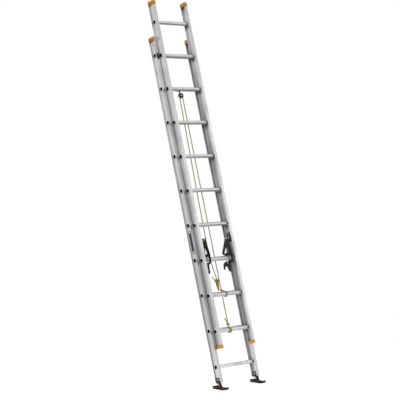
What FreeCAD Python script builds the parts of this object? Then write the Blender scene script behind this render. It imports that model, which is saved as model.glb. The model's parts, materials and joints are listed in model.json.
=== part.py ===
import FreeCAD, Part
import math
import os
import re
import Sketcher

# Two-section extension ladder, millimetres. The whole stands with +Z up, the floor at z = 0, the climber in
# front at -Y and the wall behind at +Y. The ladder's own frame, in which nearly everything is drawn, leans
# back from it: X across, Y back through the thickness, Z up the rails, rung n of the base at n pitches.

doc = FreeCAD.newDocument("extension_ladder")
sheet = doc.addObject("Spreadsheet::Sheet", "Sizes")

LEAN = 14.5
PITCH = 304.8
RUNG_GAP = 57.0
PIVOT_DROP = 143.8
PIVOT_HEIGHT = 38.0

SIZES = {
    "lean": LEAN,
    "pitch": PITCH,
    "rung_count": 10,
    "rung_gap": RUNG_GAP,
    "fly_drop": round(RUNG_GAP * math.tan(math.radians(LEAN)), 3),
    "rung_radius": 17.0,
    "rung_bore": 14.6,
    "tread_level": 15.2,
    "groove_width": 1.6,
    "groove_depth": 0.8,
    "groove_pitch": 3.4,
    "tread_inset": 12.0,
    "collar_radius": 25.0,
    "collar_rim": 1.0,
    "collar_proud": 3.6,
    "bead_radius": 22.0,
    "bead_width": 6.0,
    "wall": 2.0,
    "flange": 2.8,
    "fly_face": 190.0,
    "fly_half": 30.0,
    "fly_tip": 166.0,
    "fly_front_lip": 194.0,
    "fly_back_lip": 201.5,
    "fly_tail": 137.0,
    "fly_head": 190.0,
    "base_face": 212.0,
    "base_half": 33.0,
    "base_lip": 222.0,
    "base_front_tip": 193.0,
    "base_front_flange": 2.6,
    "base_back_tip": 188.0,
    "guide_tip": 196.0,
    "guide_slot": 4.0,
    "guide_rib": 2.0,
    "base_tail": 130.0,
    "base_head": 160.0,
    "cap_wall": 3.0,
    "cap_grip": 29.0,
    "cap_foot_grip": 20.0,
    "cap_top": 8.0,
    "cap_step": 18.0,
    "cap_side": 14.0,
    "cap_foot_side": 2.0,
    "pivot_drop": PIVOT_DROP,
    "pivot_height": PIVOT_HEIGHT,
    "pivot_radius": 5.0,
    "pivot_play": 0.05,
    "tongue_inner": 206.0,
    "tongue_outer": 216.0,
    "tongue_half": 22.0,
    "tongue_top": 216.0,
    "clasp_half": 29.0,
    "clasp_foot": 184.0,
    "rivet_radius": 4.0,
    "rivet_spread": 12.0,
    "rivet_level": 199.0,
    "shoe_half_width": 33.0,
    "shoe_heel": 50.0,
    "shoe_toe": 76.0,
    "shoe_upturn": 7.0,
    "shoe_plate": 3.0,
    "shoe_ear": 3.0,
    "shoe_ear_gap": 6.5,
    "pad_thick": 10.0,
    "pad_groove": 4.0,
    "pad_groove_depth": 2.5,
    "pad_groove_pitch": 15.0,
    "rope_radius": 4.75,
    "sheave_x": -32.0,
    "sheave_y": 31.0,
    "sheave_drop": 66.0,
    "sheave_pitch_radius": 17.0,
    "sheave_radius": 20.5,
    "sheave_half_width": 5.6,
    "groove_play": 0.15,
    "mouth_play": 0.35,
    "axle_radius": 4.0,
    "cheek_thick": 2.0,
    "cheek_play": 0.6,
    "hood_inner": 22.2,
    "hood_wall": 1.8,
    "strap_width": 24.0,
    "strap_thick": 2.0,
    "strap_neck": 11.0,
    "strap_neck_top": 33.0,
    "lock_x": 122.0,
    "lock_plate": 6.0,
    "finger_x": 115.4,
    "lock_pivot_y": -16.0,
    "lock_pivot_rise": 158.0,
    "lock_pin_radius": 5.0,
    "lock_boss_radius": 9.0,
    "lock_mount_plate": 4.0,
    "finger_y": 20.0,
    "finger_rise": -52.0,
    "finger_pin_radius": 4.0,
    "label_width": 38.0,
    "label_length": 212.0,
    "label_level": 1376.0,
    "label_thick": 0.6,
    "bolt_across": 16.0,
    "bolt_head": 6.0,
    "bolt_play": 0.6,
    "hook_clearance": 0.55,
    "stand_shift": -464.9,
}
for row, (alias, value) in enumerate(SIZES.items(), start=1):
    sheet.set(f"A{row}", alias)
    sheet.set(f"B{row}", str(value))
    sheet.setAlias(f"B{row}", alias)
doc.recompute()

S = {alias: float(sheet.get(alias)) for alias in SIZES}
TURN = math.radians(S["lean"])
SIDES = {"left": -1, "right": 1}
X_AXIS = FreeCAD.Vector(1, 0, 0)
Y_AXIS = FreeCAD.Vector(0, 1, 0)
Z_AXIS = FreeCAD.Vector(0, 0, 1)
FLY_FIRST = 2 * S["pitch"] - S["fly_drop"]
BASE_TOP = 10 * S["pitch"] + S["base_head"]
BASE_FOOT = S["pitch"] - S["base_tail"]
FLY_TOP = FLY_FIRST + 9 * S["pitch"] + S["fly_head"]
FLY_FOOT = FLY_FIRST - S["fly_tail"]
PIVOT_Z = S["pitch"] - S["pivot_drop"]
SHEAVE_Z = 9 * S["pitch"] - S["sheave_drop"]
LOCK_Z = 4 * S["pitch"]
nodes = []


def leaned(x, y, z):
    """A point of the ladder's own frame, in the row frame."""
    foot_z = -S["rung_gap"] * math.sin(TURN) + PIVOT_Z * math.cos(TURN)
    back = y * math.cos(TURN) + z * math.sin(TURN) + S["stand_shift"]
    up = -y * math.sin(TURN) + z * math.cos(TURN) - foot_z + S["pivot_height"]
    return FreeCAD.Vector(x, back, up)


LADDER = FreeCAD.Placement(leaned(0, 0, 0), FreeCAD.Rotation(X_AXIS, -S["lean"]))


def formula(text):
    """The text with each size's name turned into its cell in the sheet."""
    return re.sub(r"[a-z][a-z_]+", lambda word: "Sizes." + word.group(0), str(text))


def sub_part(thing, placement=LADDER):
    """Puts a finished sub-part in place and keeps it for export."""
    thing.Placement = placement
    nodes.append(thing)
    return thing


def new_body(label):
    body = doc.addObject("PartDesign::Body", label)
    body.Label = label
    return body


def origin_feature(body, role):
    return next(part for part in body.Origin.OriginFeatures if part.Role == role)


def new_sketch(body, role, offset=0):
    """A sketch on one of the body's own planes, moved along that plane's normal."""
    sketch = body.newObject("Sketcher::SketchObject", body.Label + "_sketch")
    sketch.AttachmentSupport = [(origin_feature(body, role), "")]
    sketch.MapMode = "FlatFace"
    sketch.setExpression("AttachmentOffset.Base.z", formula(offset))
    return sketch


def place_point(sketch, geometry, corner, x, y, start):
    """Ties one point of a sketch to the origin by two sizes."""
    for kind, size, first in (("DistanceX", x, start.x), ("DistanceY", y, start.y)):
        number = sketch.addConstraint(Sketcher.Constraint(kind, -1, 1, geometry, corner, first))
        sketch.setExpression(f"Constraints[{number}]", formula(size))


def add_polygon(sketch, corners):
    """A closed outline through corners, each an x and a y given as sizes or formulas."""
    count = len(corners)
    first = sketch.GeometryCount
    turn = 2 * math.pi / count
    ring = [FreeCAD.Vector(math.cos(i * turn), math.sin(i * turn), 0) * 10 for i in range(count)]
    for i in range(count):
        sketch.addGeometry(Part.LineSegment(ring[i], ring[(i + 1) % count]), False)
    for i in range(count):
        joined = Sketcher.Constraint("Coincident", first + i, 2, first + (i + 1) % count, 1)
        sketch.addConstraint(joined)
    for i, (x, y) in enumerate(corners):
        place_point(sketch, first + i, 1, x, y, ring[i])


def add_rectangle(sketch, left, right, low, high):
    add_polygon(sketch, [(left, low), (right, low), (right, high), (left, high)])


def add_circle(sketch, x, y, radius):
    number = sketch.addGeometry(Part.Circle(FreeCAD.Vector(1, 1, 0), Z_AXIS, 3), False)
    place_point(sketch, number, 3, x, y, FreeCAD.Vector(1, 1, 0))
    size = sketch.addConstraint(Sketcher.Constraint("Radius", number, 3))
    sketch.setExpression(f"Constraints[{size}]", formula(radius))


def extrude(body, kind, sketch, length=None, both_ways=False, backwards=False):
    """A pad or a pocket of a sketch; a pocket with no length goes through everything."""
    feature = body.newObject("PartDesign::" + kind, body.Label + "_" + kind.lower())
    feature.Profile = sketch
    if both_ways:
        feature.SideType = "Symmetric"
    feature.Reversed = backwards
    if length is None:
        feature.Type = "ThroughAll"
    else:
        feature.setExpression("Length", formula(length))
    return feature


def repeat(body, feature, role, length, count):
    """Repeats a feature in a row along one of the body's axes."""
    pattern = body.newObject("PartDesign::LinearPattern", body.Label + "_row")
    pattern.Originals = [feature]
    pattern.Direction = (origin_feature(body, role), [""])
    pattern.setExpression("Length", formula(length))
    pattern.setExpression("Occurrences", formula(count))
    body.Tip = pattern
    return pattern


def drill(body, role, x, y, radius):
    """A round hole through the whole body, square to one of its planes."""
    sketch = new_sketch(body, role)
    add_circle(sketch, x, y, radius)
    return extrude(body, "Pocket", sketch, both_ways=True)


def group(label, shapes, placement=LADDER):
    """One sub-part made of several equal separate solids."""
    feature = doc.addObject("Part::Feature", label)
    feature.Label = label
    feature.Shape = Part.makeCompound(shapes)
    return sub_part(feature, placement)


def cylinder(radius, length, x, y, z, axis=X_AXIS):
    return Part.makeCylinder(radius, length, FreeCAD.Vector(x, y, z), axis)


# --- rails -------------------------------------------------------------------------------------------------


def fly_section(side):
    """The fly rail's section: flanges inward and a back lip that runs in the base's slot."""
    outline = [
        ("fly_front_lip", "-fly_half"),
        ("fly_tip", "-fly_half"),
        ("fly_tip", "-fly_half + flange"),
        ("fly_face - wall", "-fly_half + flange"),
        ("fly_face - wall", "fly_half - flange"),
        ("fly_tip", "fly_half - flange"),
        ("fly_tip", "fly_half"),
        ("fly_back_lip", "fly_half"),
        ("fly_back_lip", "fly_half - flange"),
        ("fly_face", "fly_half - flange"),
        ("fly_face", "-fly_half + flange"),
        ("fly_front_lip", "-fly_half + flange"),
    ]
    return [(f"{side} * ({x})", y) for x, y in outline]


def base_section(side):
    """The base rail's section: its front flange and rib hold the fly rail's back lip between them."""
    front = "rung_gap - base_half"
    slot = front + " + base_front_flange"
    rib = slot + " + guide_slot"
    back = "rung_gap + base_half"
    outline = [
        ("base_lip", front),
        ("base_front_tip", front),
        ("base_front_tip", slot),
        ("base_face - wall", slot),
        ("base_face - wall", rib),
        ("guide_tip", rib),
        ("guide_tip", rib + " + guide_rib"),
        ("base_face - wall", rib + " + guide_rib"),
        ("base_face - wall", back + " - flange"),
        ("base_back_tip", back + " - flange"),
        ("base_back_tip", back),
        ("base_lip", back),
        ("base_lip", back + " - flange"),
        ("base_face", back + " - flange"),
        ("base_face", slot),
        ("base_lip", slot),
    ]
    return [(f"{side} * ({x})", y) for x, y in outline]


FLY_ROW = "(2 * pitch - fly_drop)"


def make_rail(label, section, foot, length, rung_y, rung_z, extra_holes):
    body = new_body(label)
    sketch = new_sketch(body, "XY_Plane", foot)
    add_polygon(sketch, section)
    extrude(body, "Pad", sketch, length)
    for y, z, radius in extra_holes:
        drill(body, "YZ_Plane", y, z, radius)
    hole = drill(body, "YZ_Plane", rung_y, rung_z, "rung_radius")
    repeat(body, hole, "Z_Axis", "9 * pitch", "rung_count")
    return sub_part(body)


LOCK_RIVETS = [("10", "(4 * pitch) + 150"), ("-6", "(4 * pitch) + 192")]
SHOE_RIVETS = [("rung_gap - rivet_spread", "rivet_level"), ("rung_gap + rivet_spread", "rivet_level")]

for name, side in SIDES.items():
    make_rail(
        f"base_rail_{name}", base_section(side), "pitch - base_tail", "9 * pitch + base_tail + base_head",
        "rung_gap", "pitch", [(y, z, "rivet_radius") for y, z in SHOE_RIVETS],
    )
    make_rail(
        f"fly_rail_{name}", fly_section(side), FLY_ROW + " - fly_tail", "9 * pitch + fly_tail + fly_head",
        "0", FLY_ROW, [(y, z, "rivet_radius") for y, z in LOCK_RIVETS],
    )

# --- rungs and collars -------------------------------------------------------------------------------------


def make_rung(label, half_length, y, z):
    """A hollow rung with a flat grooved tread, level when the ladder leans, so the rung is not turned."""
    body = new_body(label)
    sketch = new_sketch(body, "YZ_Plane")
    add_circle(sketch, "0", "0", "rung_radius")
    add_circle(sketch, "0", "0", "rung_bore")
    extrude(body, "Pad", sketch, f"2 * ({half_length})", both_ways=True)
    flat = new_sketch(body, "YZ_Plane")
    add_rectangle(flat, "-rung_radius", "rung_radius", "tread_level", "rung_radius + 1")
    extrude(body, "Pocket", flat, f"2 * ({half_length} - tread_inset)", both_ways=True)
    groove = new_sketch(body, "YZ_Plane")
    start = "-1.5 * groove_pitch"
    low = "tread_level - groove_depth"
    add_rectangle(groove, start + " - groove_width / 2", start + " + groove_width / 2", low, "rung_radius + 1")
    cut = extrude(body, "Pocket", groove, f"2 * ({half_length} - 2 * tread_inset)", both_ways=True)
    repeat(body, cut, "Y_Axis", "3 * groove_pitch", "4")
    return sub_part(body, FreeCAD.Placement(leaned(0, y, z), FreeCAD.Rotation()))


for number in range(1, 11):
    make_rung(f"base_rung_{number:02d}", "base_face + collar_proud", S["rung_gap"], number * S["pitch"])
    fly_z = FLY_FIRST + (number - 1) * S["pitch"]
    make_rung(f"fly_rung_{number:02d}", "fly_face + collar_proud", 0, fly_z)


def collar(side, face, y, z):
    """The swaged ring outside the rail's web and the bead inside it, at one end of a rung."""
    out = FreeCAD.Vector(side, 0, 0)
    at = FreeCAD.Vector(side * face, y, z)
    rim = Part.makeCylinder(S["collar_radius"], S["collar_rim"], at, out)
    slope_start = at + out * S["collar_rim"]
    slope = Part.makeCone(
        S["collar_radius"], S["rung_radius"] + 1, S["collar_proud"] - S["collar_rim"], slope_start, out
    )
    tube = Part.makeCylinder(S["rung_radius"], S["collar_proud"] + 1, at, out)
    ring = rim.fuse(slope).cut(tube).removeSplitter()
    inside = FreeCAD.Vector(side * (face - S["wall"] - S["bead_width"]), y, z)
    bead = Part.makeCylinder(S["bead_radius"], S["bead_width"], inside, out)
    bead = bead.makeChamfer(1.5, [edge for edge in bead.Edges if len(edge.Vertexes) == 1])
    hole = Part.makeCylinder(S["rung_radius"], S["bead_width"] + 1, inside, out)
    return [ring.Solids[0], bead.cut(hole).Solids[0]]


for section, face, y, first in (
    ("base", S["base_face"], S["rung_gap"], S["pitch"]),
    ("fly", S["fly_face"], 0, FLY_FIRST),
):
    rings = []
    for side in SIDES.values():
        for number in range(10):
            rings += collar(side, face, y, first + number * S["pitch"])
    group(f"{section}_rung_collars", rings)

# --- end caps ----------------------------------------------------------------------------------------------


def make_cap(label, outline, section, rail_end, grip, grip_sign):
    """A plastic cap pushed over a rail's end; grip_sign is -1 where the rail comes up into it from below."""
    body = new_body(label)
    block = new_sketch(body, "XY_Plane", f"{rail_end} - {grip_sign} * cap_top")
    add_polygon(block, outline)
    extrude(body, "Pad", block, f"{grip} + cap_top", backwards=grip_sign < 0)
    socket = new_sketch(body, "XY_Plane", rail_end)
    add_polygon(socket, section)
    extrude(body, "Pocket", socket, f"{grip} + 1", backwards=grip_sign > 0)
    return sub_part(body)


def base_cap_outline(side):
    """Round the base rail but clear of the slot that the fly rail's lip runs in."""
    front = "rung_gap - base_half"
    step = front + " + base_front_flange + guide_slot + guide_rib + 0.8"
    outline = [
        ("base_lip + cap_wall", front + " - cap_wall"),
        ("base_face - wall - cap_wall", front + " - cap_wall"),
        ("base_face - wall - cap_wall", step),
        ("base_back_tip - cap_wall", step),
        ("base_back_tip - cap_wall", "rung_gap + base_half + cap_wall"),
        ("base_lip + cap_wall", "rung_gap + base_half + cap_wall"),
    ]
    return [(f"{side} * ({x})", y) for x, y in outline]


def fly_cap_outline(side, side_gap):
    """Round the fly rail, with its back corner stepped in so that it never meets the base rail."""
    outline = [
        ("fly_front_lip + cap_wall", "-fly_half - cap_wall"),
        ("fly_tip - cap_wall", "-fly_half - cap_wall"),
        ("fly_tip - cap_wall", "fly_half + cap_wall"),
        (f"fly_face + {side_gap}", "fly_half + cap_wall"),
        (f"fly_face + {side_gap}", "cap_step"),
        ("fly_front_lip + cap_wall", "cap_step"),
    ]
    return [(f"{side} * ({x})", y) for x, y in outline]


BASE_END = "(10 * pitch + base_head)"
for name, side in SIDES.items():
    base, fly = base_section(side), fly_section(side)
    make_cap(f"base_top_cap_{name}", base_cap_outline(side), base, BASE_END, "cap_grip", -1)
    fly_end = FLY_ROW + " + 9 * pitch + fly_head"
    make_cap(f"fly_top_cap_{name}", fly_cap_outline(side, "cap_side"), fly, fly_end, "cap_grip", -1)
    foot_end = FLY_ROW + " - fly_tail"
    make_cap(f"fly_foot_cap_{name}", fly_cap_outline(side, "cap_foot_side"), fly, foot_end, "cap_foot_grip", 1)

# --- shoes -------------------------------------------------------------------------------------------------


def make_shoe_bracket(label, side):
    """A thick tongue round the foot of the rail's web, with a wide plate outside it, for the pivot."""
    body = new_body(label)
    low, high = "rung_gap - tongue_half", "rung_gap + tongue_half"
    tongue = new_sketch(body, "YZ_Plane", f"{side} * tongue_inner")
    add_rectangle(tongue, low, high, "pitch - pivot_drop", "tongue_top")
    extrude(body, "Pad", tongue, "tongue_outer - tongue_inner", backwards=side < 0)
    round_end = new_sketch(body, "YZ_Plane", f"{side} * tongue_inner")
    add_circle(round_end, "rung_gap", "pitch - pivot_drop", "tongue_half")
    extrude(body, "Pad", round_end, "tongue_outer - tongue_inner", backwards=side < 0)
    clasp = new_sketch(body, "YZ_Plane", f"{side} * base_face")
    add_polygon(clasp, [
        ("rung_gap - clasp_half", "tongue_top"), ("rung_gap - clasp_half", "clasp_foot"),
        (low, "pitch - pivot_drop"), (high, "pitch - pivot_drop"),
        ("rung_gap + clasp_half", "clasp_foot"), ("rung_gap + clasp_half", "tongue_top"),
    ])
    extrude(body, "Pad", clasp, "tongue_outer - base_face", backwards=side < 0)
    slot = new_sketch(body, "YZ_Plane", f"{side} * (base_face - wall)")
    add_rectangle(slot, low + " - 1", high + " + 1", "pitch - base_tail", "tongue_top + 1")
    extrude(body, "Pocket", slot, "wall", backwards=side > 0)
    drill(body, "YZ_Plane", "rung_gap", "pitch - pivot_drop", "pivot_radius")
    for y, z in SHOE_RIVETS:
        drill(body, "YZ_Plane", y, z, "rivet_radius")
    return sub_part(body)


SOLE = "(pad_thick - pivot_height)"


def make_shoe(label, placement):
    """A bent steel shoe: a sole plate, longer in front, with turned-up ends and two ears for the bolt."""
    body = new_body(label)
    sole = new_sketch(body, "YZ_Plane")
    plate_top = SOLE + " + shoe_plate"
    add_polygon(sole, [
        ("shoe_heel", SOLE), ("shoe_heel + shoe_upturn", SOLE + " + 10"),
        ("shoe_heel + shoe_upturn - 2.4", SOLE + " + 12"), ("shoe_heel - 1.6", plate_top),
        ("1.6 - shoe_toe", plate_top), ("2.4 - shoe_upturn - shoe_toe", SOLE + " + 12"),
        ("-shoe_toe - shoe_upturn", SOLE + " + 10"), ("-shoe_toe", SOLE),
    ])
    extrude(body, "Pad", sole, "2 * shoe_half_width", both_ways=True)
    for ear_side in SIDES.values():
        ear = new_sketch(body, "YZ_Plane", f"{ear_side} * shoe_ear_gap")
        add_polygon(ear, [
            ("-62", SOLE + " + 0.5"), ("44", SOLE + " + 0.5"), ("44", plate_top + " + 2"),
            ("26", plate_top + " + 6"), ("13", "6"), ("8", "12"), ("-8", "12"), ("-13", "6"),
            ("-26", plate_top + " + 7"), ("-62", plate_top + " + 2"),
        ])
        extrude(body, "Pad", ear, "shoe_ear", backwards=ear_side < 0)
    drill(body, "YZ_Plane", "0", "0", "pivot_radius + pivot_play")
    return sub_part(body, placement)


def make_shoe_pad(label, placement):
    """The rubber tread under a shoe, with grooves across it."""
    body = new_body(label)
    block = new_sketch(body, "XY_Plane", "-pivot_height")
    add_rectangle(block, "-shoe_half_width", "shoe_half_width", "-shoe_toe", "shoe_heel")
    extrude(body, "Pad", block, "pad_thick")
    groove = new_sketch(body, "YZ_Plane")
    start = "-4.5 * pad_groove_pitch"
    add_rectangle(
        groove, start + " - pad_groove / 2", start + " + pad_groove / 2",
        "-pivot_height - 1", "-pivot_height + pad_groove_depth",
    )
    cut = extrude(body, "Pocket", groove, "2 * shoe_half_width + 2", both_ways=True)
    repeat(body, cut, "Y_Axis", "7 * pad_groove_pitch", "8")
    return sub_part(body, placement)


def domed_rivet(x_low, x_high, y, z, radius):
    """A shank along X with a low dome at each end, between the two outer faces that it holds."""
    shank = cylinder(radius, x_high - x_low, x_low, y, z)
    head = 0.6 * radius
    for x, direction in ((x_low, -X_AXIS), (x_high, X_AXIS)):
        dome = Part.makeCone(1.7 * radius, 0.9 * radius, head, FreeCAD.Vector(x, y, z), direction)
        shank = shank.fuse(dome)
    return shank.removeSplitter()


def hexagon_head(across, length, x, y, z, direction):
    corners = [i * math.pi / 3 for i in range(7)]
    radius = across / math.sqrt(3)
    points = [FreeCAD.Vector(x, y + radius * math.cos(a), z + radius * math.sin(a)) for a in corners]
    return Part.Face(Part.makePolygon(points)).extrude(direction * length)


TONGUE_MIDDLE = (S["tongue_inner"] + S["tongue_outer"]) / 2
EAR_REACH = S["shoe_ear_gap"] + S["shoe_ear"]
bolts = []
rivets = []
for name, side in SIDES.items():
    make_shoe_bracket(f"shoe_bracket_{name}", side)
    at_pivot = leaned(side * TONGUE_MIDDLE, S["rung_gap"], PIVOT_Z)
    level = FreeCAD.Placement(at_pivot, FreeCAD.Rotation())
    make_shoe(f"shoe_{name}", level)
    make_shoe_pad(f"shoe_pad_{name}", level)
    inner = side * TONGUE_MIDDLE - EAR_REACH
    outer = side * TONGUE_MIDDLE + EAR_REACH
    play = S["bolt_play"]
    bolt = cylinder(S["pivot_radius"], outer - inner + 2 * play, inner - play, S["rung_gap"], PIVOT_Z)
    for x, direction in ((inner - play, -X_AXIS), (outer + play, X_AXIS)):
        head = hexagon_head(S["bolt_across"], S["bolt_head"], x, S["rung_gap"], PIVOT_Z, direction)
        bolt = bolt.fuse(head)
    bolts.append(bolt.removeSplitter())
    for y in (S["rung_gap"] - S["rivet_spread"], S["rung_gap"] + S["rivet_spread"]):
        faces = sorted((side * S["tongue_inner"], side * S["tongue_outer"]))
        rivets.append(domed_rivet(faces[0], faces[1], y, S["rivet_level"], S["rivet_radius"]))
group("shoe_pivot_bolts", bolts)
group("shoe_bracket_rivets", rivets)

# --- pulley ------------------------------------------------------------------------------------------------

AT_SHEAVE = FreeCAD.Placement(leaned(S["sheave_x"], S["sheave_y"], SHEAVE_Z), LADDER.Rotation)
RUNG_BACK = "(rung_gap - sheave_y)"
CHEEK = "(sheave_half_width + cheek_play)"


def make_pulley_strap(label):
    """A strap bent round the rung; its front leg is the pulley's rear cheek. Origin at the sheave."""
    body = new_body(label)
    loop = new_sketch(body, "YZ_Plane")
    add_circle(loop, RUNG_BACK, "sheave_drop", "rung_radius + strap_thick")
    add_circle(loop, RUNG_BACK, "sheave_drop", "rung_radius")
    extrude(body, "Pad", loop, "strap_width", both_ways=True)
    leg = new_sketch(body, "XZ_Plane", "-(rung_gap - sheave_y - rung_radius)")
    shoulder = "sheave_drop - rung_radius - strap_thick"
    right = [
        ("strap_neck / 2", "0"), ("strap_neck / 2", "strap_neck_top"),
        ("strap_width / 2", shoulder), ("strap_width / 2", "sheave_drop"),
    ]
    add_polygon(leg, right + [(f"-({x})", z) for x, z in reversed(right)])
    extrude(body, "Pad", leg, "strap_thick")
    cheek = new_sketch(body, "XZ_Plane", "-(rung_gap - sheave_y - rung_radius)")
    add_circle(cheek, "0", "0", "hood_inner + hood_wall")
    extrude(body, "Pad", cheek, "strap_thick")
    drill(body, "XZ_Plane", "0", "0", "axle_radius")
    return sub_part(body, AT_SHEAVE)


def make_pulley_housing(label):
    """The front cheek with a hood over the sheave; the rope leaves below, on both sides."""
    body = new_body(label)
    cheek = new_sketch(body, "XZ_Plane", CHEEK)
    add_circle(cheek, "0", "0", "hood_inner + hood_wall")
    extrude(body, "Pad", cheek, "cheek_thick")
    hood = new_sketch(body, "XZ_Plane", "-(rung_gap - sheave_y - rung_radius - strap_thick)")
    add_circle(hood, "0", "0", "hood_inner + hood_wall")
    add_circle(hood, "0", "0", "hood_inner")
    extrude(body, "Pad", hood, f"{CHEEK} + rung_gap - sheave_y - rung_radius - strap_thick")
    below = new_sketch(body, "XZ_Plane", f"{CHEEK}")
    add_rectangle(below, "-40", "40", "-40", "4")
    extrude(body, "Pocket", below, f"{CHEEK} * 4")
    drill(body, "XZ_Plane", "0", "0", "axle_radius")
    return sub_part(body, AT_SHEAVE)


def make_sheave(label):
    """A wheel with a round groove for the rope, turned about the axle."""
    body = new_body(label)
    blank = new_sketch(body, "XZ_Plane")
    add_circle(blank, "0", "0", "sheave_radius")
    add_circle(blank, "0", "0", "axle_radius + pivot_play")
    extrude(body, "Pad", blank, "2 * sheave_half_width", both_ways=True)
    bottom = new_sketch(body, "YZ_Plane")
    add_circle(bottom, "0", "sheave_pitch_radius", "rope_radius + groove_play")
    mouth = new_sketch(body, "YZ_Plane")
    mouth_half = "(rope_radius + mouth_play)"
    add_rectangle(mouth, "-" + mouth_half, mouth_half, "sheave_pitch_radius - 1", "sheave_radius + 1")
    for outline in (bottom, mouth):
        cut = body.newObject("PartDesign::Groove", label + "_groove")
        cut.Profile = outline
        cut.ReferenceAxis = (outline, ["H_Axis"])
        cut.Angle = 360
        body.Tip = cut
    return sub_part(body, AT_SHEAVE)


make_pulley_strap("pulley_strap")
make_pulley_housing("pulley_housing")
make_sheave("pulley_sheave")
front_face = S["sheave_half_width"] + S["cheek_play"] + S["cheek_thick"]
rear_face = S["rung_gap"] - S["sheave_y"] - S["rung_radius"]
axle = cylinder(S["axle_radius"], front_face + rear_face, 0, -front_face, 0, Y_AXIS)
for y, direction in ((-front_face, -Y_AXIS), (rear_face, Y_AXIS)):
    axle = axle.fuse(Part.makeCone(6.5, 4.0, 1.8, FreeCAD.Vector(0, y, 0), direction))
group("pulley_axle", [axle.removeSplitter()], AT_SHEAVE)

# --- rung locks --------------------------------------------------------------------------------------------


def make_lock_mount(label, side):
    """A plate riveted inside the fly rail's web, with a boss that holds the hook's pivot pin."""
    body = new_body(label)
    plate = new_sketch(body, "YZ_Plane", f"{side} * (fly_face - wall - lock_mount_plate)")
    add_polygon(plate, [
        ("-26", "4 * pitch + 136"), ("20", "4 * pitch + 128"), ("26", "4 * pitch + 138"),
        ("18", "4 * pitch + 206"), ("10", "4 * pitch + 212"), ("-14", "4 * pitch + 212"),
        ("-26", "4 * pitch + 190"),
    ])
    extrude(body, "Pad", plate, "lock_mount_plate", backwards=side < 0)
    boss = new_sketch(body, "YZ_Plane", f"{side} * (lock_x + lock_plate + 1)")
    pivot = ("lock_pivot_y", "4 * pitch + lock_pivot_rise")
    add_circle(boss, *pivot, "lock_boss_radius")
    extrude(body, "Pad", boss, "fly_face - wall - 1 - lock_x - lock_plate", backwards=side < 0)
    drill(body, "YZ_Plane", *pivot, "lock_pin_radius")
    for y, z in LOCK_RIVETS:
        drill(body, "YZ_Plane", y, z, "rivet_radius")
    return sub_part(body)


HOOK_SWING = math.hypot(S["rung_gap"] - S["lock_pivot_y"], S["lock_pivot_rise"])
HOOK_SWING -= S["rung_radius"] + S["hook_clearance"]


def on_swing(y):
    """A point of the arc about the hook's pivot that just clears the rung that the hook rests on."""
    return (y, S["lock_pivot_rise"] - math.sqrt(HOOK_SWING**2 - (y - S["lock_pivot_y"]) ** 2))


HOOK_OUTLINE = [(-27, 148), (-27, 166), (-19, 173), (-8, 170), (-1, 160), (22, 142), (58, 80), (80, 50)]
HOOK_OUTLINE += [on_swing(y) for y in (80, 68, 56, 44, 32)]
HOOK_OUTLINE += [
    (-22, 8), (-22, -37), (20, -37), (33, -46), (34, -58), (26, -67), (12, -67), (-30, -50), (-44, -30),
    (-47, 26),
]
HOOK_WINDOWS = [[(1, 98), (-14, 36), (14, 36)], [(8, 98), (22, 36), (56, 36)]]
FINGER_OUTLINE = [
    (2, -42), (12, -36), (44, -36), (72, -42), (86, -56), (92, -96), (80, -104), (70, -84), (54, -76),
    (40, -86), (26, -128), (12, -134), (4, -122), (2, -70),
]


def above_fourth(points):
    """Points given as back and up from the base's fourth rung, as sizes."""
    return [(str(y), f"4 * pitch + ({z})") for y, z in points]


def make_lock_hook(label, side):
    """The lock's frame: a hook that rests on a base rung, a cam leg up to the pivot and a jaw below."""
    body = new_body(label)
    plate = new_sketch(body, "YZ_Plane", f"{side} * lock_x")
    add_polygon(plate, above_fourth(HOOK_OUTLINE))
    extrude(body, "Pad", plate, "lock_plate", backwards=side < 0)
    for window in HOOK_WINDOWS:
        opening = new_sketch(body, "YZ_Plane", f"{side} * lock_x")
        add_polygon(opening, above_fourth(window))
        extrude(body, "Pocket", opening, "lock_plate", backwards=side > 0)
    drill(body, "YZ_Plane", "lock_pivot_y", "4 * pitch + lock_pivot_rise", "lock_pin_radius + pivot_play")
    drill(body, "YZ_Plane", "finger_y", "4 * pitch + finger_rise", "finger_pin_radius")
    return sub_part(body)


def make_lock_finger(label, side):
    """The forked trip finger beside the hook's lower jaw, on its own pin."""
    body = new_body(label)
    plate = new_sketch(body, "YZ_Plane", f"{side} * finger_x")
    add_polygon(plate, above_fourth(FINGER_OUTLINE))
    extrude(body, "Pad", plate, "lock_plate", backwards=side < 0)
    drill(body, "YZ_Plane", "finger_y", "4 * pitch + finger_rise", "finger_pin_radius + pivot_play")
    return sub_part(body)


def spring_coils(side):
    """A torsion spring's closed coils round the mount's boss, as rings side by side."""
    wire = 1.2
    start = S["lock_x"] + S["lock_plate"] + 3.0
    radius = S["lock_boss_radius"] + wire + 0.3
    coils = []
    for turn in range(5):
        x = side * (start + turn * 2.1 * wire)
        centre = FreeCAD.Vector(x, S["lock_pivot_y"], LOCK_Z + S["lock_pivot_rise"])
        coils.append(Part.makeTorus(radius, wire, centre, X_AXIS))
    return coils


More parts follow.
